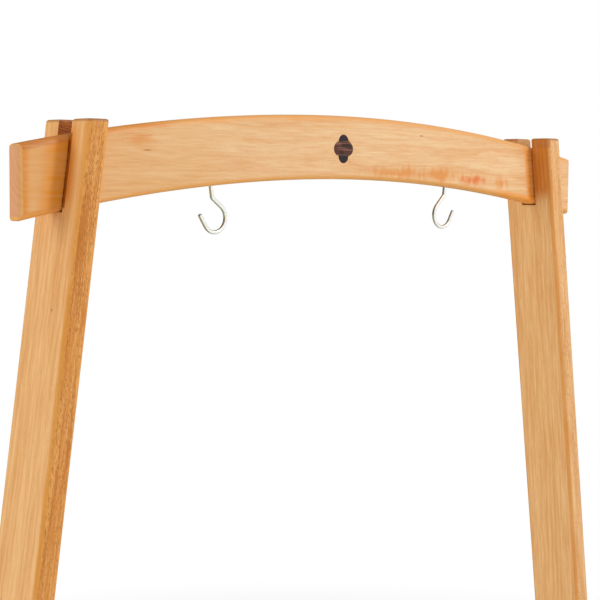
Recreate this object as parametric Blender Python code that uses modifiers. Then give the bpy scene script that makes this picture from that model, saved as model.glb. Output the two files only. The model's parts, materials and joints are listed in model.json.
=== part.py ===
"""Gong stand in beech, for one large gong on two hooks.

An arched crossbar drops into slots that are open at the tops of two splayed legs.
Each leg is tenoned and dowelled into a sled foot, and a lower rail with keyed through
tenons holds the legs' spread. Metres, +Z up, the crossbar along X, the front at -Y,
the origin on the floor under the middle of the crossbar.
"""
import math

import bmesh
import bpy
from mathutils import Euler, Vector

# Clearances between pieces that touch
FIT_GAP = 0.0003
DOWEL_GAP = 0.0003

# Crossbar: a board of even height, bent on an arc, with upright ends
STAND_HEIGHT = 1.300
BAR_LENGTH = 1.142
BAR_HEIGHT = 0.095
BAR_THICKNESS = 0.0285
BAR_TOP_RADIUS = 2.960
BAR_EDGE_RADIUS = 0.008
BAR_CORNER_RADIUS = 0.003
BAR_ARC_STEPS = 44

# Legs: boards that stand edge on to the front and splay outwards towards the floor
LEG_THICKNESS = 0.0355
LEG_DEPTH = 0.1005
LEG_HALF_SPREAD = 0.4775
LEG_SPLAY = math.radians(8.05)
LEG_ABOVE_BAR = 0.0170
LEG_EDGE_RADIUS = 0.009
LEG_EASED_EDGE = 0.0035
SLOT_EASED_EDGE = 0.0008

# Tenon that joins a leg to its foot
LEG_TENON_THICKNESS = 0.018
LEG_TENON_WIDTH = 0.070
LEG_TENON_LENGTH = 0.042
LEG_TENON_ROOT = 0.010

# Inlay: four round lobes let into the middle of the front face
INLAY_LOBE_RADIUS = 0.0101
INLAY_SIDE_OFFSET = 0.0102
INLAY_TOP_OFFSET = 0.0113
INLAY_DEPTH = 0.004
INLAY_BELOW_MIDDLE = 0.0020
INLAY_LOBE_STEPS = 10

# Screw hooks, opening outwards, screwed up into the crossbar by hand: each has its own
# lean, bare neck and depth
HOOK_HALF_SPACING = 0.249
HOOK_WIRE = 0.0058
HOOK_LEAN = {"left": math.radians(9.0), "right": math.radians(6.5)}
HOOK_NECK = {"left": 0.0173, "right": 0.0135}
HOOK_DROP = {"left": 0.0460, "right": 0.0452}
HOOK_THREAD_LENGTH = 0.030
HOOK_BOWL_RADIUS = 0.0200
HOOK_BEND_RADIUS = 0.0045
HOOK_BOWL_END = math.radians(-156.0)
HOOK_TIP_LENGTH = 0.019
HOOK_ARC_STEP = math.radians(9.0)
HOOK_BEND_STEPS = 5
HOOK_TIP_ROUNDING = 0.0012

# Feet: sleds that run front to back, arched underneath
FOOT_LENGTH = 0.560
FOOT_WIDTH = 0.056
FOOT_HEIGHT = 0.070
FOOT_END_HEIGHT = 0.034
FOOT_SEAT_LENGTH = 0.150
FOOT_PAD_LENGTH = 0.080
FOOT_ARCH_RISE = 0.014
FOOT_EDGE_RADIUS = 0.006
FOOT_EDGE_SEGMENTS = 3
FOOT_CURVE_STEPS = 12

# Dowels through a foot and its leg's tenon
DOWEL_DIAMETER = 0.008
DOWEL_SPACING = 0.040
DOWEL_HEIGHT_IN_FOOT = 0.047

# Glides under the feet
GLIDE_DIAMETER = 0.028
GLIDE_STEPS = 32
GLIDE_HEIGHT = 0.004
GLIDE_INSET = 0.040

# Lower rail with a tenon through each leg
RAIL_CENTRE_HEIGHT = 0.215
RAIL_HEIGHT = 0.095
RAIL_THICKNESS = 0.030
RAIL_EDGE_RADIUS = 0.008
RAIL_TENON_HEIGHT = 0.055
RAIL_TENON_THICKNESS = 0.022
RAIL_TENON_REACH = 0.052
RAIL_TENON_EDGE = 0.0025

# Keys: tapered wedges dropped through the rail's tenons, outside the legs
KEY_LENGTH = 0.100
KEY_THICKNESS = 0.010
KEY_TIP_WIDTH = 0.012
KEY_BELOW_CENTRE = 0.045
KEY_EDGE = 0.001
KEY_EDGE_SEGMENTS = 2
KEY_SLOT_BEHIND_FACE = 0.004

# How far a cutter runs past what it cuts
CUT_MARGIN = 0.020

# Points nearer than this are one, and faces that turn by less than this are one flat face
WELD_DISTANCE = 0.00001
FLAT_ANGLE = math.radians(0.05)

# Edges that turn by more than this are rounded: on most pieces, and on the feet's slopes
SHARP_ANGLE = math.radians(50.0)
FOOT_SHARP_ANGLE = math.radians(40.0)

# Edges that turn by more than this are shaded as sharp
SHADE_ANGLE = math.radians(30.0)

# An edge runs along an axis when the cosine between them is more than this
ALONG = 0.9

# Faces round a large rounding, and round a small one
ROUND_SEGMENTS = 5
EASED_SEGMENTS = 3

# Places that follow from the sizes
BAR_CENTRE_Z = STAND_HEIGHT - BAR_HEIGHT / 2
BAR_ARC_CENTRE_Z = STAND_HEIGHT - BAR_TOP_RADIUS
BAR_BOTTOM_RADIUS = BAR_TOP_RADIUS - BAR_HEIGHT
FOOT_BOTTOM_Z = GLIDE_HEIGHT + FIT_GAP
FOOT_TOP_Z = FOOT_BOTTOM_Z + FOOT_HEIGHT
LEG_SHOULDER_Z = FOOT_TOP_Z + FIT_GAP
DOWEL_Z = FOOT_BOTTOM_Z + DOWEL_HEIGHT_IN_FOOT
SIDES = {"left": -1, "right": 1}
ENDS = {"front": -1, "rear": 1}

# Base colour, roughness and metallic of each material
BEECH = ((0.74, 0.42, 0.17), 0.45, 0.0)
BEECH_PALE = ((0.80, 0.49, 0.25), 0.42, 0.0)
ROSEWOOD = ((0.055, 0.030, 0.026), 0.35, 0.0)
ZINC = ((0.72, 0.71, 0.64), 0.22, 1.0)
RUBBER = ((0.05, 0.045, 0.04), 0.80, 0.0)


def bar_top_z(x):
    """Height of the crossbar's top face at x."""
    return BAR_ARC_CENTRE_Z + math.sqrt(BAR_TOP_RADIUS ** 2 - x ** 2)


def bar_bottom_z(x):
    """Height of the crossbar's underside at x."""
    return BAR_ARC_CENTRE_Z + math.sqrt(BAR_BOTTOM_RADIUS ** 2 - x ** 2)


def leg_x(z):
    """Distance from the middle of the stand to the middle of a leg's thickness at height z."""
    return LEG_HALF_SPREAD + (BAR_CENTRE_Z - z) * math.tan(LEG_SPLAY)


def leg_face_x(z, outwards):
    """The same for a leg's outer face (outwards = 1) or inner face (outwards = -1)."""
    return leg_x(z) + outwards * LEG_THICKNESS / 2 / math.cos(LEG_SPLAY)


def clear_scene():
    for old in list(bpy.data.objects):
        bpy.data.objects.remove(old, do_unlink=True)


def new_collection(name):
    collection = bpy.data.collections.new(name)
    bpy.context.scene.collection.children.link(collection)
    return collection


def add_object(name, data, collection):
    made = bpy.data.objects.new(name, data)
    collection.objects.link(made)
    return made


def finish_mesh(name, bm, collection):
    """Turn a bmesh into an object, with its faces pointing out."""
    bmesh.ops.recalc_face_normals(bm, faces=bm.faces)
    mesh = bpy.data.meshes.new(name)
    bm.to_mesh(mesh)
    bm.free()
    return add_object(name, mesh, collection)


def evaluated_mesh(shape):
    """The mesh that a curve, or an object with modifiers, comes out as."""
    bpy.context.view_layer.update()
    depsgraph = bpy.context.evaluated_depsgraph_get()
    return bpy.data.meshes.new_from_object(shape.evaluated_get(depsgraph))


def curve_to_mesh(curve_object, collection):
    """Replace a curve object by a welded mesh object of the same name and place."""
    name = curve_object.name
    mesh = evaluated_mesh(curve_object)
    matrix = curve_object.matrix_world.copy()
    bpy.data.objects.remove(curve_object, do_unlink=True)
    bm = bmesh.new()
    bm.from_mesh(mesh)
    bmesh.ops.remove_doubles(bm, verts=bm.verts, dist=WELD_DISTANCE)
    bmesh.ops.dissolve_limit(bm, angle_limit=FLAT_ANGLE, verts=bm.verts, edges=bm.edges)
    bpy.data.meshes.remove(mesh)
    made = finish_mesh(name, bm, collection)
    made.matrix_world = matrix
    return made


def prism(name, outline, thickness, collection, plane="XZ"):
    """A flat outline in the XZ or YZ plane, given the thickness across that plane."""
    data = bpy.data.curves.new(name, "CURVE")
    data.dimensions = "2D"
    data.fill_mode = "BOTH"
    data.extrude = thickness / 2
    spline = data.splines.new("POLY")
    spline.points.add(len(outline) - 1)
    for point, (a, b) in zip(spline.points, outline):
        point.co = (a, b, 0.0, 1.0)
    spline.use_cyclic_u = True
    made = add_object(name, data, collection)
    turn = math.pi / 2
    made.rotation_euler = Euler((turn, 0, 0 if plane == "XZ" else turn))
    return curve_to_mesh(made, collection)


def edges_along(bm, axis):
    return [e for e in bm.edges
            if abs((e.verts[0].co - e.verts[1].co).normalized().dot(axis)) > ALONG]


def round_edges_along(target, axis, radius):
    """Round the edges of a mesh that run along an axis."""
    bm = bmesh.new()
    bm.from_mesh(target.data)
    bmesh.ops.bevel(bm, geom=edges_along(bm, Vector(axis)), offset=radius,
                    segments=ROUND_SEGMENTS, profile=0.5, affect="EDGES")
    bm.to_mesh(target.data)
    bm.free()


def board(name, size, collection):
    """A block of the given size, centred on its origin."""
    bm = bmesh.new()
    bmesh.ops.create_cube(bm, size=1.0)
    bmesh.ops.scale(bm, vec=Vector(size), verts=bm.verts)
    return finish_mesh(name, bm, collection)


def cylinder(name, diameter, length, collection, steps=24):
    """A cylinder along Z, centred on its origin."""
    bm = bmesh.new()
    bmesh.ops.create_cone(bm, cap_ends=True, segments=steps, radius1=diameter / 2,
                          radius2=diameter / 2, depth=length)
    return finish_mesh(name, bm, collection)


def as_cutter(tool):
    tool.hide_render = True
    tool.display_type = "WIRE"
    return tool


def boolean(target, tool, operation="DIFFERENCE"):
    modifier = target.modifiers.new(tool.name, "BOOLEAN")
    modifier.operation = operation
    modifier.solver = "EXACT"
    modifier.object = as_cutter(tool)


def ease_edges(target, width, segments, angle=SHARP_ANGLE):
    """Round the edges that turn by more than the angle."""
    modifier = target.modifiers.new("eased_edges", "BEVEL")
    modifier.width = width
    modifier.segments = segments
    modifier.limit_method = "ANGLE"
    modifier.angle_limit = angle
    modifier.harden_normals = False
    return modifier


def ease_weighted_edges(target, width, segments):
    """Round edges by the width times each edge's own bevel weight."""
    modifier = ease_edges(target, width, segments)
    modifier.limit_method = "WEIGHT"
    modifier.use_clamp_overlap = False


def finish_surface(target, finish):
    """Give a piece its own material, and shade its round faces smooth."""
    color, roughness, metallic = finish
    material = bpy.data.materials.new(target.name + "_finish")
    material.use_nodes = True
    shader = material.node_tree.nodes["Principled BSDF"]
    shader.inputs["Base Color"].default_value = (*color, 1.0)
    shader.inputs["Roughness"].default_value = roughness
    shader.inputs["Metallic"].default_value = metallic
    target.data.materials.clear()
    target.data.materials.append(material)
    if target.type == "MESH":
        target.data.shade_smooth()
        target.data.set_sharp_from_angle(angle=SHADE_ANGLE)


def arc_points(centre, radius, start, end, steps):
    """Points on an arc from one angle to another, both ends included."""
    cx, cz = centre
    return [(cx + radius * math.cos(start + (end - start) * i / steps),
             cz + radius * math.sin(start + (end - start) * i / steps))
            for i in range(steps + 1)]


def bar_outline():
    """The crossbar seen from the front: two arcs on one centre, with upright ends."""
    centre = (0.0, BAR_ARC_CENTRE_Z - BAR_CENTRE_Z)
    top_angle = math.asin(BAR_LENGTH / 2 / BAR_TOP_RADIUS)
    bottom_angle = math.asin(BAR_LENGTH / 2 / BAR_BOTTOM_RADIUS)
    up = math.pi / 2
    top = arc_points(centre, BAR_TOP_RADIUS, up + top_angle, up - top_angle, BAR_ARC_STEPS)
    bottom = arc_points(centre, BAR_BOTTOM_RADIUS, up - bottom_angle, up + bottom_angle,
                        BAR_ARC_STEPS)
    return top + bottom


def round_bar(bar):
    """Round both faces over all round the outline, and the outline's own corners by less."""
    bm = bmesh.new()
    bm.from_mesh(bar.data)
    weight = bm.edges.layers.float.new("bevel_weight_edge")
    for edge in bm.edges:
        if edge.calc_face_angle() > SHARP_ANGLE:
            edge[weight] = 1.0
    for edge in edges_along(bm, Vector((0, 0, 1))):
        if edge.calc_face_angle() > SHARP_ANGLE:
            edge[weight] = BAR_CORNER_RADIUS / BAR_EDGE_RADIUS
    bm.to_mesh(bar.data)
    bm.free()
    ease_weighted_edges(bar, BAR_EDGE_RADIUS, ROUND_SEGMENTS)


def inlay_outline(grow):
    """Four round lobes, each lobe's radius grown by grow, with the side lobes drawn in."""
    radius = INLAY_LOBE_RADIUS + grow
    side, top = INLAY_SIDE_OFFSET, INLAY_TOP_OFFSET
    apart = math.hypot(side, top)
    out = math.sqrt(radius ** 2 - (apart / 2) ** 2) / apart
    meet_x = side / 2 + top * out
    meet_z = top / 2 + side * out
    side_sweep = math.atan2(meet_z, meet_x - side)
    top_sweep = math.atan2(meet_x, meet_z - top)
    points = []
    for lobe in range(4):
        facing = lobe * math.pi / 2
        offset, sweep = (top, top_sweep) if lobe % 2 else (side, side_sweep)
        centre = (offset * math.cos(facing), offset * math.sin(facing))
        points += arc_points(centre, radius, facing - sweep, facing + sweep,
                             INLAY_LOBE_STEPS)[:-1]
    return points


def inlay_piece(name, depth, grow, front_y, collection):
    """The inlay's solid, or the cutter of its recess, with its front at front_y."""
    made = prism(name, inlay_outline(grow), depth, collection)
    made.location = (0, front_y + depth / 2, BAR_CENTRE_Z - INLAY_BELOW_MIDDLE)
    return made


def hook_frame(label):
    """Where a hook enters the crossbar, and the directions along and across its shank."""
    x = HOOK_HALF_SPACING
    side = SIDES[label]
    lean = HOOK_LEAN[label]
    entry = Vector((side * x, 0, bar_bottom_z(x)))
    down = Vector((-side * math.sin(lean), 0, -math.cos(lean)))
    inwards = Vector((-side * math.cos(lean), 0, math.sin(lean)))
    return entry, down, inwards


def hook_path(neck, drop):
    """The wire's middle line: (across, down) from the entry, with across towards the middle."""
    tangent = math.pi / 2 - math.acos(HOOK_BOWL_RADIUS / (drop - neck))
    touch = (HOOK_BOWL_RADIUS * math.cos(tangent), drop - HOOK_BOWL_RADIUS * math.sin(tangent))
    slope = Vector((touch[0], touch[1] - neck)).normalized()
    turn = slope.angle(Vector((0.0, 1.0)))
    cut = HOOK_BEND_RADIUS * math.tan(turn / 2)
    bend_centre = (HOOK_BEND_RADIUS, neck - cut)
    points = [(0.0, -HOOK_THREAD_LENGTH), (0.0, 0.0)]
    points += arc_points(bend_centre, HOOK_BEND_RADIUS, math.pi, math.pi - turn,
                         HOOK_BEND_STEPS)
    steps = round((tangent - HOOK_BOWL_END) / HOOK_ARC_STEP)
    bowl = arc_points((0.0, 0.0), HOOK_BOWL_RADIUS, tangent, HOOK_BOWL_END, steps)
    points += [(a, drop - b) for a, b in bowl]
    last = points[-1]
    along = (math.sin(HOOK_BOWL_END), math.cos(HOOK_BOWL_END))
    reach = HOOK_TIP_LENGTH - HOOK_TIP_ROUNDING
    points.append((last[0] + along[0] * reach, last[1] + along[1] * reach))
    points.append((last[0] + along[0] * HOOK_TIP_LENGTH, last[1] + along[1] * HOOK_TIP_LENGTH))
    return points


def make_hook(label, collection):
    name = "hook_" + label
    entry, down, inwards = hook_frame(label)
    data = bpy.data.curves.new(name, "CURVE")
    data.dimensions = "3D"
    data.bevel_depth = HOOK_WIRE / 2
    data.bevel_resolution = 4
    data.use_fill_caps = True
    points = hook_path(HOOK_NECK[label], HOOK_DROP[label])
    spline = data.splines.new("POLY")
    spline.points.add(len(points) - 1)
    for point, (across, drop) in zip(spline.points, points):
        point.co = (*(inwards * across + down * drop), 1.0)
    spline.points[-1].radius = 1.0 - HOOK_TIP_ROUNDING / (HOOK_WIRE / 2)
    made = add_object(name, data, collection)
    made.location = entry
    return curve_to_mesh(made, collection)


def hook_hole(label, collection):
    """Cutter of the pilot hole for a hook's shank."""
    entry, down, _ = hook_frame(label)
    diameter = HOOK_WIRE + 2 * FIT_GAP
    depth = HOOK_THREAD_LENGTH + FIT_GAP
    tool = cylinder("hook_hole_" + label, diameter, depth + CUT_MARGIN, collection)
    tool.rotation_euler = Euler((0, SIDES[label] * HOOK_LEAN[label], 0))
    tool.location = entry - down * (depth - CUT_MARGIN) / 2
    return tool


def make_crossbar(parts, cutters):
    bar = prism("crossbar", bar_outline(), BAR_THICKNESS, parts)
    bar.location = (0, 0, BAR_CENTRE_Z)
    round_bar(bar)
    front = -BAR_THICKNESS / 2
    recess = inlay_piece("inlay_recess", INLAY_DEPTH + FIT_GAP + CUT_MARGIN, FIT_GAP,
                         front - CUT_MARGIN, cutters)
    boolean(bar, recess)
    finish_surface(bar, BEECH_PALE)
    inlay = inlay_piece("crossbar_inlay", INLAY_DEPTH, 0.0, front, parts)
    finish_surface(inlay, ROSEWOOD)
    for label in SIDES:
        boolean(bar, hook_hole(label, cutters))
        finish_surface(make_hook(label, parts), ZINC)


def slot_cutter(name, side, collection):
    """Opens a leg's top for the crossbar, as wide as the bar. The floor is sawn at the angle
    of the splay, so that the bar bears on its outer edge."""
    height = BAR_HEIGHT * 2
    tool = board(name, (LEG_THICKNESS * 4, BAR_THICKNESS + 2 * FIT_GAP, height), collection)
    tool.rotation_euler = Euler((0, side * LEG_SPLAY, 0))
    x = leg_face_x(bar_bottom_z(LEG_HALF_SPREAD), 1)
    floor = Vector((side * x, 0, bar_bottom_z(x) - FIT_GAP))
    up = Vector((side * math.sin(LEG_SPLAY), 0, math.cos(LEG_SPLAY)))
    tool.location = floor + up * height / 2
    return tool


def rail_mortise_cutter(name, side, collection):
    size = (LEG_THICKNESS * 4, RAIL_TENON_THICKNESS + 2 * FIT_GAP, RAIL_TENON_HEIGHT + 2 * FIT_GAP)
    tool = board(name, size, collection)
    tool.location = (side * leg_x(RAIL_CENTRE_HEIGHT), 0, RAIL_CENTRE_HEIGHT)
    return tool


def leg_tenon(name, side, grow, length, collection):
    """The tenon under a leg, or the cutter of its mortise when grown by a gap."""
    size = (LEG_TENON_THICKNESS + 2 * grow, LEG_TENON_WIDTH + 2 * grow, length)
    tool = board(name, size, collection)
    lean = side * LEG_SPLAY
    bottom = LEG_TENON_LENGTH + grow
    up = Vector((-math.sin(lean), 0, math.cos(lean)))
    root = Vector((side * leg_x(LEG_SHOULDER_Z), 0, LEG_SHOULDER_Z))
    tool.rotation_euler = Euler((0, -lean, 0))
    tool.location = root + up * (length / 2 - bottom)
    return tool


def dowel_shape(name, side, end, diameter, length, collection):
    made = cylinder(name, diameter, length, collection)
    made.rotation_euler = Euler((0, math.pi / 2, 0))
    made.location = (side * foot_centre_x(), end * DOWEL_SPACING / 2, DOWEL_Z)
    return made


def foot_centre_x():
    """The feet stand under the legs' tenons."""
    return leg_x(DOWEL_Z)


def level_cutter(name, side, z, away, collection):
    """Cuts a leg level at height z, and takes what is above it (away = 1) or below (-1)."""
    tool = board(name, (LEG_DEPTH * 2, LEG_DEPTH * 2, LEG_DEPTH), collection)
    tool.location = (side * leg_x(z), 0, z + away * LEG_DEPTH / 2)
    return tool


def head_weight(low, top):
    """How far a leg's edge is rounded, from 0 to 1, by the height of its lower end."""
    if low > top - WELD_DISTANCE:
        return 1.0
    if low > LEG_SHOULDER_Z + LEG_DEPTH:
        return SLOT_EASED_EDGE / LEG_EASED_EDGE
    return 0.0


def ease_leg_head(leg, top):
    """Round the level top over all round, and break the slot's other edges by less."""
    cut = evaluated_mesh(leg)
    leg.modifiers.clear()
    leg.data = cut
    bm = bmesh.new()
    bm.from_mesh(cut)
    weight = bm.edges.layers.float.new("bevel_weight_edge")
    for edge in bm.edges:
        if edge.calc_face_angle() > SHARP_ANGLE:
            low = min((leg.matrix_world @ vert.co).z for vert in edge.verts)
            edge[weight] = head_weight(low, top)
    bm.to_mesh(cut)
    bm.free()
    ease_weighted_edges(leg, LEG_EASED_EDGE, EASED_SEGMENTS)


def make_leg(label, side, parts, cutters):
    top = bar_top_z(LEG_HALF_SPREAD) + LEG_ABOVE_BAR
    middle = (top + LEG_SHOULDER_Z) / 2
    length = (top - LEG_SHOULDER_Z) / math.cos(LEG_SPLAY) + 2 * LEG_THICKNESS
    leg = board("leg_" + label, (LEG_THICKNESS, LEG_DEPTH, length), parts)
    round_edges_along(leg, (0, 0, 1), LEG_EDGE_RADIUS)
    leg.rotation_euler = Euler((0, -side * LEG_SPLAY, 0))
    leg.location = (side * leg_x(middle), 0, middle)
    boolean(leg, level_cutter("head_cut_" + label, side, top, 1, cutters))
    boolean(leg, slot_cutter("bar_slot_" + label, side, cutters))
    ease_leg_head(leg, top)
    boolean(leg, rail_mortise_cutter("rail_mortise_" + label, side, cutters))
    boolean(leg, level_cutter("floor_cut_" + label, side, LEG_SHOULDER_Z, -1, cutters))
    tenon = leg_tenon("leg_tenon_" + label, side, 0.0, LEG_TENON_LENGTH + LEG_TENON_ROOT, cutters)
    boolean(leg, tenon, "UNION")
    for end_label, end in ENDS.items():
        hole = dowel_shape("tenon_hole_%s_%s" % (label, end_label), side, end,
                           DOWEL_DIAMETER + 2 * DOWEL_GAP, FOOT_WIDTH + CUT_MARGIN, cutters)
        boolean(leg, hole)
    finish_surface(leg, BEECH)


def foot_outline():
    """A foot from its side: pads at the ends, an arch between them, the top drawn down."""
    half = FOOT_LENGTH / 2
    seat = FOOT_SEAT_LENGTH / 2
    arch_half = half - FOOT_PAD_LENGTH
    arch_radius = (arch_half ** 2 + FOOT_ARCH_RISE ** 2) / (2 * FOOT_ARCH_RISE)
    sweep = math.asin(arch_half / arch_radius)
    up = math.pi / 2
    arch = arc_points((0.0, FOOT_ARCH_RISE - arch_radius), arch_radius, up + sweep, up - sweep,
                      FOOT_CURVE_STEPS)
    drop = FOOT_HEIGHT - FOOT_END_HEIGHT
    slope = []
    for i in range(FOOT_CURVE_STEPS + 1):
        t = i / FOOT_CURVE_STEPS
        rise = (1 - math.cos(math.pi * t)) / 2
        slope.append((half + (seat - half) * t, FOOT_END_HEIGHT + drop * rise))
    mirrored = [(-y, z) for y, z in reversed(slope)]
    return [(-half, 0.0)] + arch + [(half, 0.0)] + slope + mirrored


def make_foot(label, side, parts, cutters):
    foot = prism("foot_" + label, foot_outline(), FOOT_WIDTH, parts, plane="YZ")
    foot.location = (side * foot_centre_x(), 0, FOOT_BOTTOM_Z)
    ease_edges(foot, FOOT_EDGE_RADIUS, FOOT_EDGE_SEGMENTS, angle=FOOT_SHARP_ANGLE)
    mortise = leg_tenon("foot_mortise_" + label, side, FIT_GAP, LEG_TENON_LENGTH + FOOT_HEIGHT,
                        cutters)
    boolean(foot, mortise)
    finish_surface(foot, BEECH)
    for end_label, end in ENDS.items():
        tag = "%s_%s" % (label, end_label)
        boolean(foot, dowel_shape("foot_hole_" + tag, side, end, DOWEL_DIAMETER + 2 * DOWEL_GAP,
                                  FOOT_WIDTH + CUT_MARGIN, cutters))
        dowel = dowel_shape("foot_dowel_" + tag, side, end, DOWEL_DIAMETER, FOOT_WIDTH, parts)
        finish_surface(dowel, BEECH_PALE)
        glide = cylinder("foot_glide_" + tag, GLIDE_DIAMETER, GLIDE_HEIGHT, parts,
                         steps=GLIDE_STEPS)
        glide.location = (side * foot_centre_x(), end * (FOOT_LENGTH / 2 - GLIDE_INSET),
                          GLIDE_HEIGHT / 2)
        finish_surface(glide, RUBBER)


def rail_outline():
    """The rail between the legs, its ends cut to their slope."""
    top = RAIL_CENTRE_HEIGHT + RAIL_HEIGHT / 2
    bottom = RAIL_CENTRE_HEIGHT - RAIL_HEIGHT / 2
    at_top = leg_face_x(top, -1) - FIT_GAP
    at_bottom = leg_face_x(bottom, -1) - FIT_GAP
    half = RAIL_HEIGHT / 2
    return [(-at_bottom, -half), (at_bottom, -half), (at_top, half), (-at_top, half)]


def key_outer_x():
    """The keys' upright outer side."""
    return leg_face_x(RAIL_CENTRE_HEIGHT - KEY_BELOW_CENTRE, 1) + FIT_GAP + KEY_TIP_WIDTH


def key_slot_cutter(name, side, collection):
    inner = leg_face_x(RAIL_CENTRE_HEIGHT + RAIL_TENON_HEIGHT / 2, 1) - KEY_SLOT_BEHIND_FACE
    outer = key_outer_x() + FIT_GAP
    tool = board(name, (outer - inner, KEY_THICKNESS + 2 * FIT_GAP, RAIL_HEIGHT * 2), collection)
    tool.location = (side * (outer + inner) / 2, 0, RAIL_CENTRE_HEIGHT)
    return tool


def make_rail(parts, cutters):
    rail = prism("lower_rail", rail_outline(), RAIL_THICKNESS, parts)
    rail.location = (0, 0, RAIL_CENTRE_HEIGHT)
    round_edges_along(rail, (1, 0, 0), RAIL_EDGE_RADIUS)
    reach = leg_face_x(RAIL_CENTRE_HEIGHT, 1) + RAIL_TENON_REACH
    tenons = board("rail_tenons", (2 * reach, RAIL_TENON_THICKNESS, RAIL_TENON_HEIGHT), cutters)
    tenons.location = (0, 0, RAIL_CENTRE_HEIGHT)
    ease_edges(tenons, RAIL_TENON_EDGE, EASED_SEGMENTS)
    boolean(rail, tenons, "UNION")
    for label, side in SIDES.items():
        boolean(rail, key_slot_cutter("key_slot_" + label, side, cutters))
    finish_surface(rail, BEECH)


def make_key(label, side, parts):
    """A wedge: one side follows the leg's outer face, the other is upright."""
    low = RAIL_CENTRE_HEIGHT - KEY_BELOW_CENTRE
    high = low + KEY_LENGTH
    outer = key_outer_x()
    middle = (outer + leg_face_x(RAIL_CENTRE_HEIGHT, 1)) / 2
    corners = [(outer, low), (outer, high),
               (leg_face_x(high, 1) + FIT_GAP, high), (leg_face_x(low, 1) + FIT_GAP, low)]
    outline = [(side * (x - middle), z - RAIL_CENTRE_HEIGHT) for x, z in corners]
    key = prism("rail_key_" + label, outline, KEY_THICKNESS, parts)
    key.location = (side * middle, 0, RAIL_CENTRE_HEIGHT)
    ease_edges(key, KEY_EDGE, KEY_EDGE_SEGMENTS)
    finish_surface(key, BEECH_PALE)


def build():
    clear_scene()
    parts = new_collection("gong_stand")
    cutters = new_collection("cutters")
    make_crossbar(parts, cutters)
    make_rail(parts, cutters)
    for label, side in SIDES.items():
        make_leg(label, side, parts, cutters)
        make_foot(label, side, parts, cutters)
        make_key(label, side, parts)


build()
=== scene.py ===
import json
import math

import bmesh
import bpy
from mathutils import Matrix, Vector


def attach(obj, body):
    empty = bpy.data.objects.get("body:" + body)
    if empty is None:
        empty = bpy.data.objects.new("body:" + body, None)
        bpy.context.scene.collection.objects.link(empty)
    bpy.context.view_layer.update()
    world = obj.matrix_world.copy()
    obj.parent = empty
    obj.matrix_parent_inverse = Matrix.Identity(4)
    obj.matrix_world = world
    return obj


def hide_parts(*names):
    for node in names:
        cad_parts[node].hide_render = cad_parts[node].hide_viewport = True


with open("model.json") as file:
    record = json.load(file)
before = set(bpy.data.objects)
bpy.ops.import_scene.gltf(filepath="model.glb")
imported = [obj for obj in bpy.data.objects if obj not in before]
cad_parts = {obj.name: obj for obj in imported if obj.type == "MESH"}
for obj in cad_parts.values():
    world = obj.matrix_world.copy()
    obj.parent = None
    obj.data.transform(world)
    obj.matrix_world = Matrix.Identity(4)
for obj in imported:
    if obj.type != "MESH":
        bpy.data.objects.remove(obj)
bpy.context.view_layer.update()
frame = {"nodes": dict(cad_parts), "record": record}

# The camera, solved from the edges of the crossbar and the legs in the photograph
CAMERA_PLACE = (-1.58624, -1.58999, 1.19962)
CAMERA_YAW = math.radians(43.5580)
CAMERA_PITCH = math.radians(-4.5525)
CAMERA_ROLL = math.radians(-0.4944)
CAMERA_LENS = 88.5823
CAMERA_SENSOR = 36.0
CAMERA_NEAR = 0.05
CAMERA_FAR = 100.0

# Places that the grain of the wood follows
STAND_HEIGHT = 1.300
BAR_HEIGHT = 0.095
BAR_THICKNESS = 0.0285
BAR_TOP_RADIUS = 2.960
LEG_HALF_SPREAD = 0.4775
LEG_SPLAY = math.radians(8.05)
LEG_TOP = 1.2782
RAIL_HEIGHT_MIDDLE = 0.215
FOOT_HEIGHT_MIDDLE = 0.040
FOOT_X = 0.6474
KEY_X = 0.657
DOWEL_HALF_SPACING = 0.020
DOWEL_Z = 0.0513

# Screw hooks
HOOK_HALF_SPACING = 0.249
HOOK_WIRE = 0.0058
HOOK_LEAN = {"left": math.radians(9.0), "right": math.radians(6.5)}
HOOK_NECK = {"left": 0.0173, "right": 0.0135}
HOOK_DROP = {"left": 0.0460, "right": 0.0452}
HOOK_THREAD_LENGTH = 0.030
HOOK_BOWL_RADIUS = 0.0200
HOOK_BEND_RADIUS = 0.0045
HOOK_BOWL_END = math.radians(-156.0)
HOOK_TIP_LENGTH = 0.019
HOOK_ARC_STEP = math.radians(4.0)
HOOK_TIP_ROUNDING = 0.0009
HOOK_SIDES = 20

WELD_DISTANCE = 0.00001
SHARP_ANGLE = math.radians(32.0)

BAR_MIDDLE_Z = STAND_HEIGHT - BAR_HEIGHT / 2
BAR_ARC_CENTRE_Z = STAND_HEIGHT - BAR_TOP_RADIUS
BAR_BOTTOM_RADIUS = BAR_TOP_RADIUS - BAR_HEIGHT
SIDES = {"left": -1, "right": 1}
ENDS = {"front": -1, "rear": 1}

# Which body each node moves with
BODIES = {node: body for body, nodes in frame["record"]["behaviour"]["bodies"].items()
          for node in nodes}


def arc_height(radius, x):
    """Height of the crossbar's arch at a distance x from its middle."""
    return BAR_ARC_CENTRE_Z + math.sqrt(radius ** 2 - x ** 2)


class Board:
    """Where a board's grain runs: its middle, its three directions and its growth rings.

    The pith is off the middle by these distances in thickness and width, the tilt is its
    slope to the grain, and ring is the width of one growth ring. Planes, a point and a
    direction each, give more coordinates for tints and painted shade.
    """

    def __init__(self, middle, grain, thick, wide, pith, tilt=(0.0, 0.0), ring=0.0042,
                 arched=False):
        self.middle = Vector(middle)
        self.grain = Vector(grain)
        self.thick = Vector(thick)
        self.wide = Vector(wide)
        self.pith = pith
        self.tilt = tilt
        self.ring = ring
        self.arched = arched
        self.planes = {}


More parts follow.
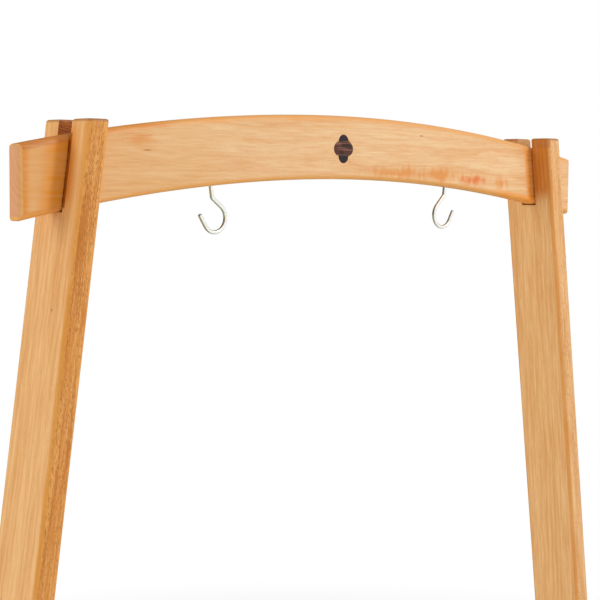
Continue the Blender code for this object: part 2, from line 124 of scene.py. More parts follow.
def leg_board(side):
    lean = side * LEG_SPLAY
    up = (-math.sin(lean), 0, math.cos(lean))
    right = (math.cos(lean), 0, math.sin(lean))
    board = Board((side * LEG_HALF_SPREAD, 0, BAR_MIDDLE_Z), up, right, (0, 1, 0),
                  pith=(side * 0.03, 0.120), tilt=(0.0, 0.035), ring=0.0048)
    board.planes["over_top"] = (Vector((0, 0, LEG_TOP)), Vector((0, 0, 1)))
    return board


def bar_board():
    """The crossbar, with the planes of both legs and the arch as further coordinates."""
    board = Board((0, 0, BAR_MIDDLE_Z), (1, 0, 0), (0, 1, 0), (0, 0, 1), pith=(0.060, 0.012),
                  tilt=(0.0, 0.015), ring=0.0040, arched=True)
    for label, side in SIDES.items():
        leg = leg_board(side)
        board.planes["by_" + label] = (leg.middle, leg.thick)
    return board


def rail_board():
    return Board((0, 0, RAIL_HEIGHT_MIDDLE), (1, 0, 0), (0, 1, 0), (0, 0, 1),
                 pith=(-0.06, 0.03), tilt=(0.0, 0.01))


def foot_board(side):
    return Board((side * FOOT_X, 0, FOOT_HEIGHT_MIDDLE), (0, 1, 0), (1, 0, 0), (0, 0, 1),
                 pith=(side * 0.05, -0.06), tilt=(0.0, 0.012))


def key_board(side):
    return Board((side * KEY_X, 0, RAIL_HEIGHT_MIDDLE), (0, 0, 1), (0, 1, 0), (1, 0, 0),
                 pith=(0.03, side * 0.04))


def dowel_board(side, end):
    return Board((side * FOOT_X, end * DOWEL_HALF_SPACING, DOWEL_Z), (1, 0, 0), (0, 1, 0),
                 (0, 0, 1), pith=(0.012, end * 0.006), ring=0.0016)


# Places of the colour sockets of a Mix node
MIX_FACTOR = 0
MIX_A = 6
MIX_B = 7
MIX_RESULT = 2


class Surface:
    """A node material under construction."""

    def __init__(self, name):
        self.material = bpy.data.materials.new(name)
        self.material.use_nodes = True
        self.tree = self.material.node_tree
        self.shader = self.tree.nodes["Principled BSDF"]
        coordinates = self.node("TexCoord").outputs
        self.place = coordinates["Object"]
        self.normal = coordinates["Normal"]

    def put(self, socket, value):
        if isinstance(value, bpy.types.NodeSocket):
            self.tree.links.new(value, socket)
        else:
            socket.default_value = value

    def node(self, kind, inputs=None, **settings):
        made = self.tree.nodes.new("ShaderNode" + kind)
        for key, value in settings.items():
            setattr(made, key, value)
        for key, value in (inputs or {}).items():
            self.put(made.inputs[key], value)
        return made

    def math(self, operation, *values):
        made = self.node("Math", operation=operation)
        for socket, value in zip(made.inputs, values):
            self.put(socket, value)
        return made.outputs[0]

    def add(self, a, b):
        return self.math("ADD", a, b)

    def times(self, a, b):
        return self.math("MULTIPLY", a, b)

    def size(self, value):
        return self.math("ABSOLUTE", value)

    def smooth(self, value, low, high, to_low=0.0, to_high=1.0):
        """A value that eases from to_low, at low, to to_high, at high."""
        made = self.node("MapRange", {"Value": value, "From Min": low, "From Max": high,
                                      "To Min": to_low, "To Max": to_high},
                         interpolation_type="SMOOTHSTEP")
        return made.outputs["Result"]

    def band(self, value, low, high, soft):
        """One between low and high, and nothing further than soft outside them."""
        return self.times(self.smooth(value, low - soft, low),
                          self.smooth(value, high + soft, high))

    def vector(self, operation, *values, output="Vector"):
        made = self.node("VectorMath", operation=operation)
        for socket, value in zip(made.inputs, values):
            self.put(socket, value)
        return made.outputs[output]

    def dot(self, a, b):
        return self.vector("DOT_PRODUCT", a, b, output="Value")

    def length(self, vector):
        return self.vector("LENGTH", vector, output="Value")

    def scaled(self, vector, scale):
        """Coordinates for a noise with about this many waves to the metre each way."""
        return self.node("Mapping", {"Vector": vector, "Scale": scale}).outputs["Vector"]

    def noise(self, vector, detail=2.0, roughness=0.5):
        made = self.node("TexNoise", {"Vector": vector, "Scale": 1.0, "Detail": detail,
                                      "Roughness": roughness})
        return made.outputs["Fac"]

    def joined(self, x, y, z):
        return self.node("CombineXYZ", {"X": x, "Y": y, "Z": z}).outputs["Vector"]

    def mix(self, factor, a, b):
        made = self.node("Mix", data_type="RGBA")
        made.clamp_factor = True
        self.put(made.inputs[MIX_FACTOR], factor)
        for place, value in ((MIX_A, a), (MIX_B, b)):
            self.put(made.inputs[place], (*value, 1.0) if isinstance(value, tuple) else value)
        return made.outputs[MIX_RESULT]

    def bump(self, height, distance):
        """Relief as deep as the distance, in metres, where the height is one."""
        made = self.node("Bump", {"Height": height, "Distance": distance})
        self.put(self.shader.inputs["Normal"], made.outputs["Normal"])


# Colours and places that every beech piece shares
SEED_SHIFT = (0.731, 0.117, 0.293)
PORE_COLOUR = (0.46, 0.17, 0.04)
END_DOT_COLOUR = (0.28, 0.10, 0.03)
SLOT_MOUTH_HALF = BAR_THICKNESS / 2 + 0.0012
SLOT_MOUTH_SOFT = 0.0008
SLOT_FLOOR_FADE = (-0.075, -0.055)
BEECH_RELIEF = 0.00012


class Beech(Surface):
    """Oiled beech: growth rings, pores, ray flecks, painted shade on rounded edges and beside the
    joints, and end grain.
    """

    def __init__(self, name, board, seed, look):
        super().__init__(name)
        self.board = board
        self.look = look
        self.locate(seed)
        self.face()
        self.rings()
        colour = self.plain_wood()
        colour = self.rays(colour)
        colour = self.edges(colour)
        colour = self.ends(colour)
        colour = self.stains_and_shade(colour)
        colour = self.sawn(colour)
        colour = self.marks(colour)
        self.put(self.shader.inputs["Base Color"], colour)
        self.polish()

    def locate(self, seed):
        """Coordinates along the grain, through the thickness and across the width."""
        board = self.board
        moved = self.vector("SUBTRACT", self.place, board.middle)
        self.along = self.dot(moved, board.grain)
        self.thick = self.dot(moved, board.thick)
        self.wide = self.dot(moved, board.wide)
        inside = self.joined(self.along, self.thick, self.wide)
        shift = tuple(seed * part for part in SEED_SHIFT)
        self.inside = self.vector("ADD", inside, shift)
        for name, (point, normal) in board.planes.items():
            away = self.vector("SUBTRACT", self.place, point)
            setattr(self, name, self.dot(away, normal))
        if board.arched:
            spoke = self.vector("SUBTRACT", self.place, (0, 0, BAR_ARC_CENTRE_Z))
            spoke = self.vector("MULTIPLY", spoke, (1, 0, 1))
            self.rise = self.add(self.length(spoke), BAR_HEIGHT / 2 - BAR_TOP_RADIUS)

    def face(self):
        """How far the surface looks along the grain, the thickness and the width, and how
        far it is one of the board's narrow faces."""
        board = self.board
        self.on_grain = self.size(self.dot(self.normal, board.grain))
        self.on_thick = self.size(self.dot(self.normal, board.thick))
        self.on_wide = self.size(self.dot(self.normal, board.wide))
        self.on_narrow = self.on_wide if self.look["narrow_on"] == "wide" else self.on_thick

    def rings(self):
        """Growth rings round the pith, as lines of uneven strength that wander a little."""
        board = self.board
        wander = self.noise(self.scaled(self.inside, (3.4, 7, 7)), detail=2)
        ripple = self.noise(self.scaled(self.inside, (16, 30, 30)), detail=2)
        across = [self.add(part, offset) for part, offset
                  in ((self.thick, board.pith[0]), (self.wide, board.pith[1]))]
        across = [self.add(part, self.times(self.along, slope))
                  for part, slope in zip(across, board.tilt)]
        reach = self.math("SQRT", self.add(*[self.times(part, part) for part in across]))
        reach = self.add(reach, self.times(self.add(wander, -0.5), self.look["wander"]))
        reach = self.add(reach, self.times(self.add(ripple, -0.5), self.look["ripple"]))
        reach = self.times(reach, 1.0 / board.ring)
        self.late = self.noise(self.joined(reach, self.times(self.along, 3.0), 0.0), detail=3,
                               roughness=0.6)

    def plain_wood(self):
        """Pale and deep wood, mixed by broad patches, rings, streaks, fibres and pores."""
        look = self.look
        broad = self.noise(self.scaled(self.inside, (2.4, 17, 17)), detail=4, roughness=0.6)
        self.streaks = self.noise(self.scaled(self.inside, (11, 250, 250)), detail=3)
        fibres = self.noise(self.scaled(self.inside, (28, 640, 640)), detail=2)
        self.pores = self.noise(self.scaled(self.inside, (55, 1300, 1300)), detail=2)
        parts = ((broad, look["broad"]), (self.late, look["rings"]),
                 (self.streaks, look["streaks"]), (fibres, look["fibres"]))
        depth = 0.5
        for part, weight in parts:
            depth = self.add(depth, self.times(self.add(part, -0.5), weight))
        faces = self.mix(depth, look["pale"], look["deep"])
        narrow = self.mix(depth, look["narrow_pale"], look["narrow_deep"])
        colour = self.mix(self.smooth(self.on_narrow, 0.45, 0.85), faces, narrow)
        return self.mix(self.smooth(self.pores, 0.55, 0.72, 0.0, 0.16), colour, PORE_COLOUR)

    def rays(self, colour):
        """Ray flecks, short and dark: flakes on the wide faces and dashes on the narrow ones."""
        look = self.look
        dashes = self.noise(self.scaled(self.inside, (155, 740, 740)), detail=2)
        crowd = self.noise(self.scaled(self.inside, (5, 70, 70)), detail=2)
        start = self.smooth(crowd, 0.35, 0.65, 0.59, 0.47)
        inside = self.smooth(self.add(dashes, self.times(start, -1.0)), 0.0, 0.09)
        strength = self.smooth(self.on_narrow, 0.35, 0.90, look["flakes"], look["dashes"])
        return self.mix(self.times(inside, strength), colour, look["dash_colour"])

    def edges(self, colour):
        """Painted shade on the rounded edges, patchy along them."""
        sides = self.math("MAXIMUM", self.on_thick, self.on_wide)
        flat = self.math("MAXIMUM", self.on_grain, sides)
        rounded = self.smooth(flat, 0.975, 0.86)
        shade_patches = self.noise(self.scaled(self.inside, (14, 40, 40)), detail=3)
        strength = self.smooth(shade_patches, 0.30, 0.70, self.look["edge"] * 0.70, self.look["edge"])
        return self.mix(self.times(rounded, strength), colour, self.look["edge_shade_colour"])

    def ends(self, colour):
        """End grain: dark, dotted, with the growth rings across it."""
        start = self.look["end_from"]
        ends = self.smooth(self.on_grain, start, start + 0.25)
        dots = self.noise(self.scaled(self.inside, (300, 1100, 1100)), detail=2)
        ground = self.mix(self.smooth(self.late, 0.35, 0.70, 0.0, 0.5),
                          self.look["end_colour"], self.look["end_deep"])
        ground = self.mix(self.smooth(dots, 0.52, 0.70, 0.0, 0.3), ground, END_DOT_COLOUR)
        return self.mix(self.times(ends, 0.92), colour, ground)

    def stains_and_shade(self, colour):
        """Painted shade beside the joints, at the bar's end and on its rounded edges, and some
        tints.
        """
        uneven = self.smooth(self.streaks, 0.30, 0.70, 1.2, 0.7)
        for tint, strength, bands in self.look.get("stains_and_shade", ()):
            mask = self.times(uneven, strength)
            for direction, low, high, soft in bands:
                mask = self.times(mask, self.band(getattr(self, direction), low, high, soft))
            colour = self.mix(mask, colour, tint)
        return colour

    def sawn(self, colour):
        """The slot's inner faces: painted shade inside the slot, with saw marks."""
        if not self.look.get("slotted"):
            return colour
        within = self.smooth(self.size(self.wide), SLOT_MOUTH_HALF,
                             SLOT_MOUTH_HALF + SLOT_MOUTH_SOFT, 1.0, 0.0)
        above = self.smooth(self.along, *SLOT_FLOOR_FADE)
        looks_in = self.smooth(self.math("MAXIMUM", self.on_wide, self.on_grain), 0.6, 0.9)
        inside = self.times(self.times(within, above), looks_in)
        saw = self.noise(self.scaled(self.inside, (500, 60, 60)), detail=2)
        ground = self.mix(self.smooth(saw, 0.38, 0.62), *self.look["sawn"])
        return self.mix(self.times(inside, 0.97), colour, ground)

    def marks(self, colour):
        """Streaks and clouds at stated places: place, half lengths, colour and strength."""
        for place, reach, tint, strength, strokes in self.look.get("marks", ()):
            moved = self.vector("SUBTRACT", self.place, Vector(place))
            shrunk = self.vector("DIVIDE", moved, Vector(reach))
            away = self.length(shrunk)
            if strokes:
                cloud = self.noise(self.scaled(self.place, strokes), detail=3)
                away = self.add(away, self.smooth(cloud, 0.3, 0.7, 0.32, -0.25))
            colour = self.mix(self.smooth(away, 1.0, 0.1, 0.0, strength), colour, tint)
        return colour

    def polish(self):
        """A thin satin oil finish."""
        rough = self.smooth(self.pores, 0.3, 0.8, 0.44, 0.60)
        self.put(self.shader.inputs["Roughness"], rough)
        self.shader.inputs["Specular IOR Level"].default_value = 0.32
        self.shader.inputs["Coat Weight"].default_value = 0.10
        self.shader.inputs["Coat Roughness"].default_value = 0.36
        relief = self.add(self.times(self.pores, 0.6), self.times(self.streaks, 0.4))
        self.bump(relief, BEECH_RELIEF)


# The dark inlay: its ground from dark to less dark, its stripes and its plain rim
ROSEWOOD_GROUND = ((0.040, 0.017, 0.012), (0.110, 0.036, 0.021))
ROSEWOOD_STRIPE = (0.34, 0.150, 0.110)
ROSEWOOD_RIM = (0.022, 0.014, 0.016)
ROSEWOOD_MIDDLE_Z = BAR_MIDDLE_Z - 0.001
ROSEWOOD_MIDDLE_HALF = (0.007, 0.013)
ROSEWOOD_RELIEF = 0.00008

# Hooks and glides, from one tint to the other
ZINC = ((0.97, 0.97, 0.93), (0.88, 0.88, 0.81))
ZINC_RELIEF = 0.00003
RUBBER = ((0.030, 0.028, 0.026), (0.060, 0.056, 0.052))
RUBBER_RELIEF = 0.0001


def rosewood(name):
    """Near black, with reddish stripes along the bar in its middle."""
    surface = Surface(name)
    stripes = surface.noise(surface.scaled(surface.place, (22, 300, 420)), detail=3)
    patches = surface.noise(surface.scaled(surface.place, (60, 90, 90)), detail=2)
    height = surface.add(surface.dot(surface.place, (0, 0, 1)), -ROSEWOOD_MIDDLE_Z)
    middle = surface.smooth(surface.size(height), *ROSEWOOD_MIDDLE_HALF, 1.0, 0.0)
    ground = surface.mix(surface.smooth(patches, 0.35, 0.65), *ROSEWOOD_GROUND)
    striped = surface.times(surface.smooth(stripes, 0.50, 0.66), 0.8)
    colour = surface.mix(striped, ground, ROSEWOOD_STRIPE)
    colour = surface.mix(middle, ROSEWOOD_RIM, colour)
    surface.put(surface.shader.inputs["Base Color"], colour)
    surface.put(surface.shader.inputs["Roughness"], surface.smooth(stripes, 0.3, 0.7, 0.40, 0.55))
    surface.shader.inputs["Specular IOR Level"].default_value = 0.20
    surface.bump(stripes, ROSEWOOD_RELIEF)
    return surface.material


def zinc(name):
    """Bright zinc plate, slightly yellow and unevenly bright."""
    surface = Surface(name)
    cloud = surface.noise(surface.scaled(surface.place, (220, 220, 220)), detail=3)
    colour = surface.mix(surface.smooth(cloud, 0.3, 0.7), *ZINC)
    surface.put(surface.shader.inputs["Base Color"], colour)
    surface.shader.inputs["Metallic"].default_value = 1.0
    surface.put(surface.shader.inputs["Roughness"], surface.smooth(cloud, 0.3, 0.7, 0.12, 0.24))
    surface.bump(cloud, ZINC_RELIEF)
    return surface.material


def rubber(name):
    """Dark matt rubber."""
    surface = Surface(name)
    grain = surface.noise(surface.scaled(surface.place, (900, 900, 900)), detail=3)
    colour = surface.mix(grain, *RUBBER)
    surface.put(surface.shader.inputs["Base Color"], colour)
    surface.put(surface.shader.inputs["Roughness"], surface.smooth(grain, 0.3, 0.7, 0.7, 0.9))
    surface.bump(grain, RUBBER_RELIEF)
    return surface.material


def stand_for(piece, node, material):
    """Let a finished piece stand for a node of the frame, on the same body."""
    piece.data.materials.clear()
    piece.data.materials.append(material)
    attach(piece, BODIES[node])
    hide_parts(node)


def shade_round(mesh):
    mesh.shade_smooth()
    mesh.set_sharp_from_angle(angle=SHARP_ANGLE)


def smooth_piece(node, material):
    """A node's shape with its points welded, so that rounded edges shade as round."""
    bm = bmesh.new()
    bm.from_mesh(frame["nodes"][node].data)
    bmesh.ops.remove_doubles(bm, verts=bm.verts, dist=WELD_DISTANCE)
    mesh = bpy.data.meshes.new(node + "_shown")
    bm.to_mesh(mesh)
    bm.free()
    shade_round(mesh)
    piece = bpy.data.objects.new(node + "_shown", mesh)
    bpy.context.scene.collection.objects.link(piece)
    even = piece.modifiers.new("even_shading", "WEIGHTED_NORMAL")
    even.keep_sharp = True
    stand_for(piece, node, material)


def arc_points(centre, radius, start, end, steps):
    cx, cz = centre
    return [(cx + radius * math.cos(start + (end - start) * i / steps),
             cz + radius * math.sin(start + (end - start) * i / steps))
            for i in range(steps + 1)]


def arc_steps(sweep):
    return max(2, round(abs(sweep) / HOOK_ARC_STEP))


def hook_path(neck, drop):
    """The wire's middle line: (across, down) from the entry, with across towards the middle."""
    tangent = math.pi / 2 - math.acos(HOOK_BOWL_RADIUS / (drop - neck))
    touch = (HOOK_BOWL_RADIUS * math.cos(tangent), drop - HOOK_BOWL_RADIUS * math.sin(tangent))
    slope = Vector((touch[0], touch[1] - neck)).normalized()
    turn = slope.angle(Vector((0.0, 1.0)))
    cut = HOOK_BEND_RADIUS * math.tan(turn / 2)
    points = [(0.0, -HOOK_THREAD_LENGTH), (0.0, 0.0)]
    points += arc_points((HOOK_BEND_RADIUS, neck - cut), HOOK_BEND_RADIUS, math.pi,
                         math.pi - turn, arc_steps(turn))
    bowl = arc_points((0.0, 0.0), HOOK_BOWL_RADIUS, tangent, HOOK_BOWL_END,
                      arc_steps(tangent - HOOK_BOWL_END))
    points += [(a, drop - b) for a, b in bowl]
    last = points[-1]
    along = (math.sin(HOOK_BOWL_END), math.cos(HOOK_BOWL_END))
    for reach in (HOOK_TIP_LENGTH - HOOK_TIP_ROUNDING, HOOK_TIP_LENGTH):
        points.append((last[0] + along[0] * reach, last[1] + along[1] * reach))
    return points


def make_hook(label):
    """A hook's wire, rounder and finer than the frame's."""
    side = SIDES[label]
    lean = HOOK_LEAN[label]
    bottom = arc_height(BAR_BOTTOM_RADIUS, HOOK_HALF_SPACING)
    entry = Vector((side * HOOK_HALF_SPACING, 0, bottom))
    down = Vector((-side * math.sin(lean), 0, -math.cos(lean)))
    inwards = Vector((-side * math.cos(lean), 0, math.sin(lean)))
    data = bpy.data.curves.new("hook_wire_" + label, "CURVE")
    data.dimensions = "3D"
    data.bevel_depth = HOOK_WIRE / 2
    data.bevel_resolution = HOOK_SIDES // 2 - 2  # Blender makes twice this plus 4 sides
    data.use_fill_caps = True
    path = hook_path(HOOK_NECK[label], HOOK_DROP[label])
    spline = data.splines.new("POLY")
    spline.points.add(len(path) - 1)
    for point, (across, drop) in zip(spline.points, path):
        point.co = (*(entry + inwards * across + down * drop), 1.0)
    spline.points[-1].radius = 1.0 - HOOK_TIP_ROUNDING / (HOOK_WIRE / 2)
    curve = bpy.data.objects.new("hook_wire_" + label, data)
    bpy.context.scene.collection.objects.link(curve)
    bpy.context.view_layer.update()
    evaluated = curve.evaluated_get(bpy.context.evaluated_depsgraph_get())
    mesh = bpy.data.meshes.new_from_object(evaluated)
    bpy.data.objects.remove(curve, do_unlink=True)
    shade_round(mesh)
    piece = bpy.data.objects.new("hook_%s_shown" % label, mesh)
    bpy.context.scene.collection.objects.link(piece)
    stand_for(piece, "hook_" + label, zinc("zinc_" + label))


# Looks of the beech: pale and deep are the wide faces, narrow_pale and narrow_deep the narrow
LOOK = {"pale": (0.88, 0.50, 0.195), "deep": (0.73, 0.335, 0.095),
        "narrow_pale": (0.90, 0.53, 0.225), "narrow_deep": (0.74, 0.34, 0.100),
        "narrow_on": "wide", "broad": 1.2, "rings": 2.2, "streaks": 2.0, "fibres": 1.4,
        "wander": 0.012, "ripple": 0.0025,
        "flakes": 0.08, "dashes": 0.40, "dash_colour": (0.46, 0.15, 0.018),
        # Painted shade on the rounded edges: its strength and colour
        "edge": 0.80, "edge_shade_colour": (0.72, 0.27, 0.035),
        "end_colour": (0.42, 0.165, 0.050), "end_deep": (0.25, 0.085, 0.022),
        # The slot's inner faces in painted shade, from dark to less dark
        "end_from": 0.30, "sawn": ((0.20, 0.034, 0.000), (0.44, 0.125, 0.000))}

# Painted shade beside the joints and on rounded edges, and some tints: colour, strength and bands
# (direction, low, high, soft edge).
# Directions are along, thick and wide from the board's middle, rise above the arch's middle
# line, by_left and by_right to the right of a leg's middle, and over_top above the legs' tops.
# OFF_END leaves out the end grain, and STUB is the bar's end outside the left leg
OFF_END = ("on_grain", -1.0, 0.2, 0.3)
STUB = ("along", -0.5750, -0.4700, 0.004)
BAR_STAINS_AND_SHADE = (
    # The stub in the left leg's painted shadow, a deeper tint just inside the left leg, painted
    # shade on the stub's outer edge, and painted shadow on its side by the leg
    ((0.80, 0.385, 0.110), 0.62, (STUB, OFF_END)),
    ((0.78, 0.42, 0.120), 0.24, (("along", -0.4700, -0.3000, 0.100), OFF_END)),
    ((0.78, 0.27, 0.030), 0.90, (("along", -0.5760, -0.5660, 0.014), OFF_END)),
    ((0.78, 0.28, 0.022), 0.90, (("by_left", -0.0330, -0.0100, 0.030), OFF_END)),
    # Painted shade on the stub's upper and lower rounded edges
    ((0.60, 0.20, 0.035), 0.88, (STUB, ("rise", 0.0415, 0.0600, 0.004), OFF_END)),
    ((0.74, 0.27, 0.045), 0.88, (STUB, ("rise", -0.0600, -0.0420, 0.005), OFF_END)),
    # A painted shade line in the gap beside the left leg, and the right leg's painted shadow and
    # a painted shade line beside it
    ((0.24, 0.045, 0.002), 0.95, (("by_left", -0.0186, -0.0100, 0.0012),)),
    ((0.80, 0.28, 0.025), 0.92, (("by_right", -0.0320, -0.0180, 0.011),)),
    ((0.50, 0.12, 0.000), 0.85, (("by_right", -0.0190, -0.0180, 0.004),)),
    # Painted shade on the upper rounded edge, deeper near the left leg
    ((0.80, 0.36, 0.095), 0.75, (("rise", 0.0420, 0.0600, 0.004),
                                 ("along", -0.4700, 0.6000, 0.010))),
    ((0.74, 0.27, 0.045), 0.80, (("along", -0.4700, -0.3700, 0.080),
                                 ("rise", 0.0430, 0.0600, 0.004))),
    # Painted shade on the lower rounded edge, deeper near the right leg
    ((0.90, 0.42, 0.095), 0.70, (("rise", -0.0600, -0.0430, 0.003),)),
    ((0.92, 0.34, 0.050), 0.75, (("rise", -0.0600, -0.0400, 0.005),
                                 ("by_right", -0.0900, 0.0100, 0.060))))

# The legs' darker top edges, painted shade beside the bar on their left faces, and a deeper top
# on the right leg's left face
TOP_EDGE = ((0.42, 0.17, 0.055), 0.75, (("over_top", -0.0028, 0.0100, 0.0015),))
LEFT_FACE = ("thick", -0.0300, -0.0165, 0.002)
LEG_STAINS_AND_SHADE = {
    "left": (
        TOP_EDGE,
        # Faint painted shade round and below the bar, painted shade beside it, and a painted
        # shade line in the gap
        ((0.90, 0.47, 0.150), 0.30, (LEFT_FACE, ("along", -0.080, 0.060, 0.070))),
        ((0.78, 0.26, 0.022), 0.90, (LEFT_FACE, ("along", -0.070, 0.000, 0.025),
                                     ("wide", -0.0190, -0.0100, 0.018))),
        ((0.40, 0.09, 0.000), 0.85, (LEFT_FACE, ("along", -0.090, 0.004, 0.003),
                                     ("wide", -0.0182, -0.0100, 0.002)))),
    "right": (
        TOP_EDGE,
        # Painted shade on the front prong's left face beside the bar, then a deeper top to the
        # left face
        ((0.64, 0.205, 0.018), 0.94, (LEFT_FACE, ("along", -0.055, 0.060, 0.030),
                                      ("wide", -0.0470, 0.0100, 0.003))),
        ((0.50, 0.17, 0.040), 0.60, (("along", 0.0150, 0.060, 0.007),
                                     ("thick", -0.0300, -0.0120, 0.002))))}

# Colours of the bar's clouds, and the waves to the metre of the strokes that break them up
RED = (0.78, 0.30, 0.070)
DEEP_RED = (0.80, 0.19, 0.030)
AMBER = (0.84, 0.35, 0.080)
STROKES = (95, 60, 45)
LEVEL_STROKES = (30, 60, 200)
BAR_FRONT_Y = -0.0143
FRONT_MARK_DEPTH = 0.02


def front_mark(x, z, half_length, half_height, tint, strength, strokes=None):
    """A mark on the bar's front face, whole or broken up by strokes."""
    return ((x, BAR_FRONT_Y, z), (half_length, FRONT_MARK_DEPTH, half_height), tint, strength,
            strokes)


# Two mineral streaks, the row of reddish clouds at the right, and fainter ones at the left
BAR_MARKS = (
    front_mark(-0.371, 1.2410, 0.011, 0.0014, (0.42, 0.12, 0.015), 0.95),
    front_mark(0.175, 1.2747, 0.006, 0.0012, (0.16, 0.07, 0.03), 0.95),
    front_mark(0.100, 1.2160, 0.080, 0.011, RED, 0.75, STROKES),
    front_mark(0.145, 1.2170, 0.034, 0.017, RED, 0.85, STROKES),
    front_mark(0.215, 1.2130, 0.085, 0.015, RED, 0.95, STROKES),
    front_mark(0.306, 1.2060, 0.045, 0.012, DEEP_RED, 0.90, STROKES),
    front_mark(0.377, 1.2000, 0.022, 0.017, RED, 0.95, STROKES),
    front_mark(-0.384, 1.2560, 0.040, 0.015, (0.76, 0.28, 0.060), 0.70, (35, 60, 420)),
    front_mark(-0.250, 1.2860, 0.060, 0.007, AMBER, 0.70, LEVEL_STROKES),
    front_mark(-0.085, 1.2930, 0.060, 0.007, AMBER, 0.70, LEVEL_STROKES))

# A small dark mark on the left leg's outer face
LEFT_MARKS = (
    ((-0.5262, -0.0167, 1.035), (0.02, 0.0018, 0.0028), (0.22, 0.08, 0.02), 0.85, None),)

# The pieces that differ from the common look
RAIL_LOOK = dict(LOOK, narrow_on="thick", narrow_pale=(0.90, 0.60, 0.320),
                 narrow_deep=(0.78, 0.39, 0.150), broad=1.6, rings=1.7, streaks=0.9, fibres=1.2,
                 # with its own painted shade on the rounded edges
                 flakes=0.10, dashes=0.05, edge=0.65, edge_shade_colour=(0.82, 0.38, 0.085),
                 end_colour=(0.78, 0.38, 0.18), end_deep=(0.67, 0.285, 0.13), end_from=0.70,
                 wander=0.018, ripple=0.005)
BAR_LOOK = dict(RAIL_LOOK, marks=BAR_MARKS, stains_and_shade=BAR_STAINS_AND_SHADE)
LEG_LOOKS = {
    "left": dict(LOOK, slotted=True, stains_and_shade=LEG_STAINS_AND_SHADE["left"], marks=LEFT_MARKS,
                 pale=(0.93, 0.54, 0.228), deep=(0.78, 0.37, 0.117),
                 narrow_pale=(0.88, 0.43, 0.115), narrow_deep=(0.62, 0.20, 0.020),
                 # and a deeper painted shade on its rounded edges
                 dashes=0.75, edge_shade_colour=(0.84, 0.35, 0.055)),
    "right": dict(LOOK, slotted=True, stains_and_shade=LEG_STAINS_AND_SHADE["right"],
                  pale=(0.94, 0.57, 0.245), deep=(0.80, 0.39, 0.125),
                  narrow_pale=(0.90, 0.545, 0.245), narrow_deep=(0.75, 0.355, 0.115),
                  # with a paler painted shade inside its slot
                  sawn=((0.50, 0.25, 0.075), (0.66, 0.35, 0.130)))}
KEY_LOOK = dict(LOOK, edge=0.3)


def beech_piece(node, board, seed, look):
    """Show a node as beech; the seed moves its grain away from that of other pieces."""
    smooth_piece(node, Beech("beech_" + node, board, seed, look).material)


def dress_wood():
    beech_piece("crossbar", bar_board(), 1, BAR_LOOK)
    beech_piece("lower_rail", rail_board(), 2, RAIL_LOOK)
    for label, side in SIDES.items():
        beech_piece("leg_" + label, leg_board(side), 5 + side, LEG_LOOKS[label])
        beech_piece("foot_" + label, foot_board(side), 9 + side, LOOK)
        beech_piece("rail_key_" + label, key_board(side), 13 + side, KEY_LOOK)
        for end, where in ENDS.items():
            node = "foot_dowel_%s_%s" % (label, end)
            beech_piece(node, dowel_board(side, where), 17 + side, LOOK)


def dress_rest():
    smooth_piece("crossbar_inlay", rosewood("rosewood_inlay"))
    for label in SIDES:
        make_hook(label)
        for end in ENDS:
            tag = "%s_%s" % (label, end)
            smooth_piece("foot_glide_" + tag, rubber("rubber_" + tag))


# Two round lamps: place, the point they look at, width and watts
KEY_LAMP = ((1.25, -2.30, 3.03), (0, 0, 1.1), 0.6, 42)
FILL_LAMP = ((-3.0, 1.0, 2.0), (0, 0, 1.0), 2.0, 30)


def make_lamp(name, place, target, width, watts):
    data = bpy.data.lights.new(name, "AREA")
    data.shape = "DISK"
    data.size = width
    data.energy = watts
    made = bpy.data.objects.new(name, data)
    made.location = place
    made.rotation_euler = (Vector(target) - Vector(place)).to_track_quat("-Z", "Y").to_euler()
    bpy.context.scene.collection.objects.link(made)
    return made


# The room: even light, white behind, and one darker side that only reflections show. The
# dark grows from none to full between two cosines of a direction's angle with that side
ROOM_LIGHT = 0.62
WHITE = (1.0, 1.0, 1.0)
DARK_SIDE = Vector((-0.60, 0.80, 0.0))
DARK_WALL = (0.09, 0.09, 0.050)
DARK_FLOOR = (0.27, 0.27, 0.165)
DARK_SPREAD = (-0.40, -0.05)

# The floor, and the distances from the stand's middle between which it turns white
FLOOR_WIDTH = 60
FLOOR_COLOUR = (0.90, 0.90, 0.90)
FLOOR_ROUGHNESS = 0.9
FLOOR_TURNS_WHITE = (1.2, 2.2)


def make_world():
    """White for the camera, the room for reflections, and even light for all else."""
    world = bpy.data.worlds.new("studio")
    world.use_nodes = True
    tree = world.node_tree
    tree.nodes.clear()

    def node(kind, *inputs, **settings):
        made = tree.nodes.new("ShaderNode" + kind)
        for key, value in settings.items():
            setattr(made, key, value)
        for socket, value in zip(made.inputs, inputs):
            if isinstance(value, bpy.types.NodeSocket):
                tree.links.new(value, socket)
            else:
                socket.default_value = (*value, 1.0) if isinstance(value, tuple) else value
        return made

    path = node("LightPath").outputs
    seen = node("Math", path["Is Camera Ray"], path["Is Transmission Ray"],
                operation="MAXIMUM").outputs[0]
    ahead = node("TexCoord").outputs["Generated"]
    side = node("VectorMath", ahead, DARK_SIDE, operation="DOT_PRODUCT")
    shade = node("MapRange", side.outputs["Value"], *DARK_SPREAD, 0.0, 1.0,
                 interpolation_type="SMOOTHSTEP").outputs["Result"]
    room = node("Mix", data_type="RGBA")
    tree.links.new(shade, room.inputs[MIX_FACTOR])
    room.inputs[MIX_A].default_value = (*WHITE, 1.0)
    room.inputs[MIX_B].default_value = (*DARK_WALL, 1.0)
    light = node("Background", WHITE, ROOM_LIGHT)
    mirror = node("Background", room.outputs[MIX_RESULT], 1.0)
    white = node("Background", WHITE, 1.0)
    lit = node("MixShader", path["Is Glossy Ray"], light.outputs[0], mirror.outputs[0])
    whole = node("MixShader", seen, lit.outputs[0], white.outputs[0])
    node("OutputWorld", whole.outputs[0])
    bpy.context.scene.world = world


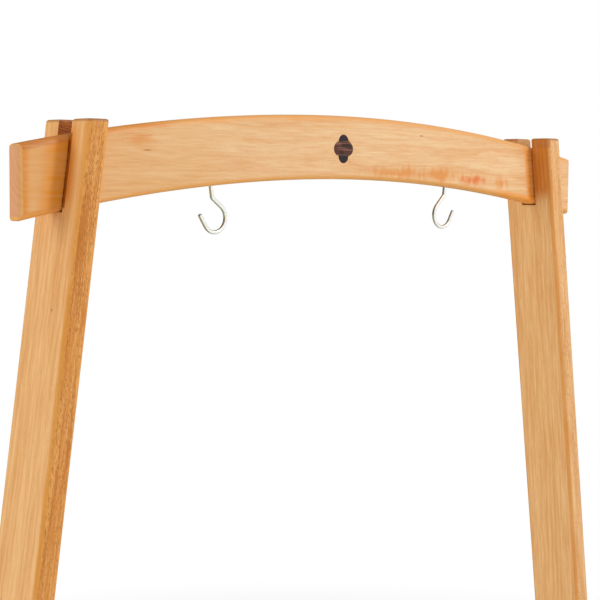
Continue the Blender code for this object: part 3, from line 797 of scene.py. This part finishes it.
def make_floor():
    """A pale floor with the stand's shadow, white further away and dark to reflections
    on the room's dark side."""
    bpy.ops.mesh.primitive_plane_add(size=FLOOR_WIDTH, location=(0, 0, 0))
    floor = bpy.context.object
    floor.name = "studio_floor"
    surface = Surface("pale_floor")
    surface.shader.inputs["Base Color"].default_value = (*FLOOR_COLOUR, 1.0)
    surface.shader.inputs["Roughness"].default_value = FLOOR_ROUGHNESS
    path = surface.node("LightPath").outputs
    far = surface.smooth(surface.length(surface.place), *FLOOR_TURNS_WHITE)
    seen = surface.math("MAXIMUM", path["Is Camera Ray"], surface.math(
        "MAXIMUM", path["Is Glossy Ray"], path["Is Transmission Ray"]))
    outwards = surface.vector("NORMALIZE", surface.place)
    dark_side = surface.smooth(surface.dot(outwards, DARK_SIDE), *DARK_SPREAD)
    dark = surface.times(dark_side, path["Is Glossy Ray"])
    shade = surface.mix(dark, WHITE, DARK_FLOOR)
    shown = surface.node("Emission", {"Color": shade})
    mix = surface.node("MixShader")
    surface.put(mix.inputs[0], surface.math("MAXIMUM", surface.times(far, seen), dark))
    surface.put(mix.inputs[1], surface.shader.outputs[0])
    surface.put(mix.inputs[2], shown.outputs[0])
    surface.put(surface.tree.nodes["Material Output"].inputs["Surface"], mix.outputs[0])
    floor.data.materials.append(surface.material)


def make_camera():
    data = bpy.data.cameras.new("photograph")
    data.sensor_width = CAMERA_SENSOR
    data.lens = CAMERA_LENS
    data.clip_start = CAMERA_NEAR
    data.clip_end = CAMERA_FAR
    made = bpy.data.objects.new("photograph", data)
    level = math.cos(CAMERA_PITCH)
    ahead = Vector((math.sin(CAMERA_YAW) * level, math.cos(CAMERA_YAW) * level,
                    math.sin(CAMERA_PITCH)))
    right = Vector((math.cos(CAMERA_YAW), -math.sin(CAMERA_YAW), 0.0))
    down = ahead.cross(right)
    turned_right = right * math.cos(CAMERA_ROLL) + down * math.sin(CAMERA_ROLL)
    turned_down = down * math.cos(CAMERA_ROLL) - right * math.sin(CAMERA_ROLL)
    matrix = Matrix((turned_right, -turned_down, -ahead)).transposed().to_4x4()
    matrix.translation = Vector(CAMERA_PLACE)
    made.matrix_world = matrix
    bpy.context.scene.collection.objects.link(made)
    bpy.context.scene.camera = made


make_camera()
make_world()
make_floor()
make_lamp("key", *KEY_LAMP)
fill = make_lamp("fill", *FILL_LAMP)
fill.visible_glossy = False  # it stands on the dark side, where reflections would show it
dress_wood()
dress_rest()
bpy.context.scene.view_settings.view_transform = "Standard"
